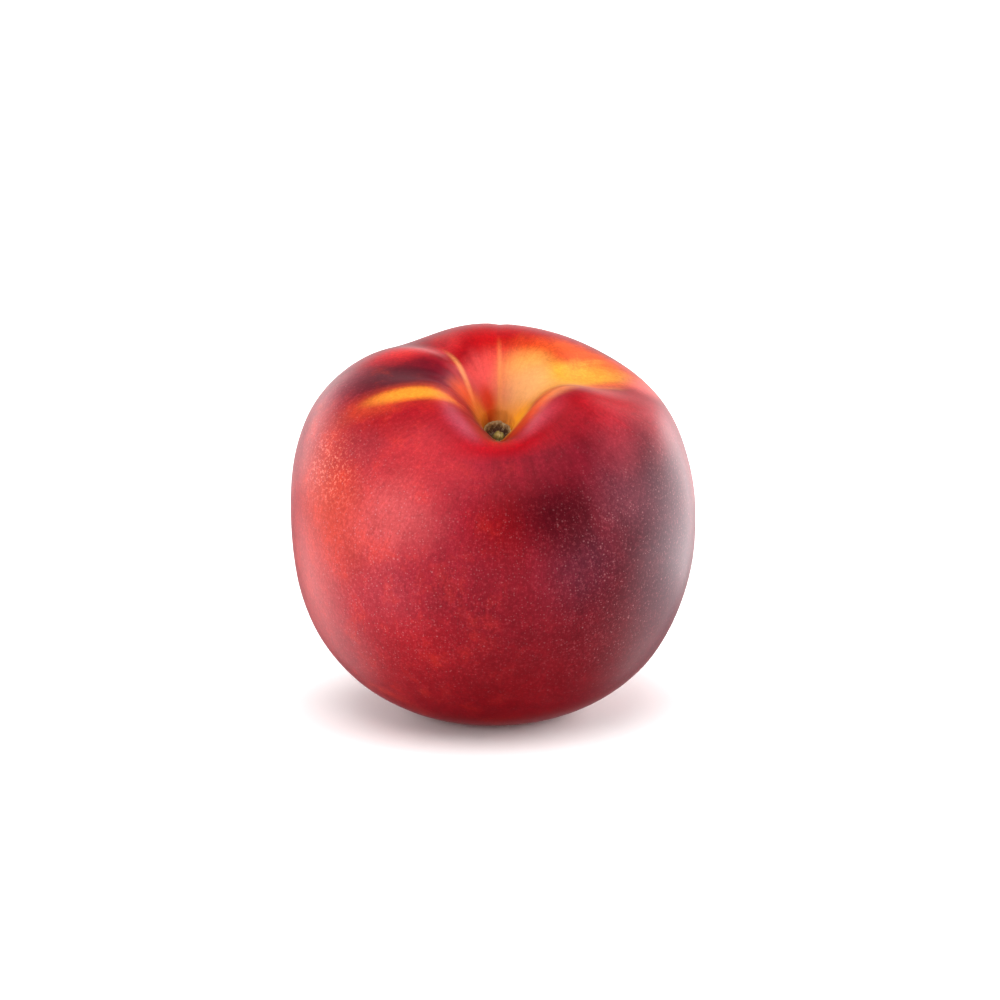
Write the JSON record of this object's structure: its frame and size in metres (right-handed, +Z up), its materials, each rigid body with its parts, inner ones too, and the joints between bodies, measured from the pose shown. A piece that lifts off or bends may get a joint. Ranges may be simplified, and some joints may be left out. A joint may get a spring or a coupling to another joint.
{
  "type": "nectarine",
  "caption": "Whole ripe nectarine with red skin, a yellow-streaked stalk cavity, a shallow suture down the back and a corky stalk scar, resting on its base.",
  "frame": {"origin": "on the surface that the fruit rests on, under the middle of its outline", "axes": "+Z up from the resting surface, +X towards the fruit's right cheek, +Y towards the suture; the stalk end leans towards -Y"},
  "size_m": [0.0676, 0.0674, 0.0648],
  "materials": {
    "skin": "smooth waxy fruit skin, dark red with a yellow band across the stalk cavity and fine pale flecks",
    "cork": "dry brown corky stalk scar, matt"
  },
  "bodies": {
    "root": {"fruit": "skin", "stalk_scar": "cork"}
  },
  "joints": []
}
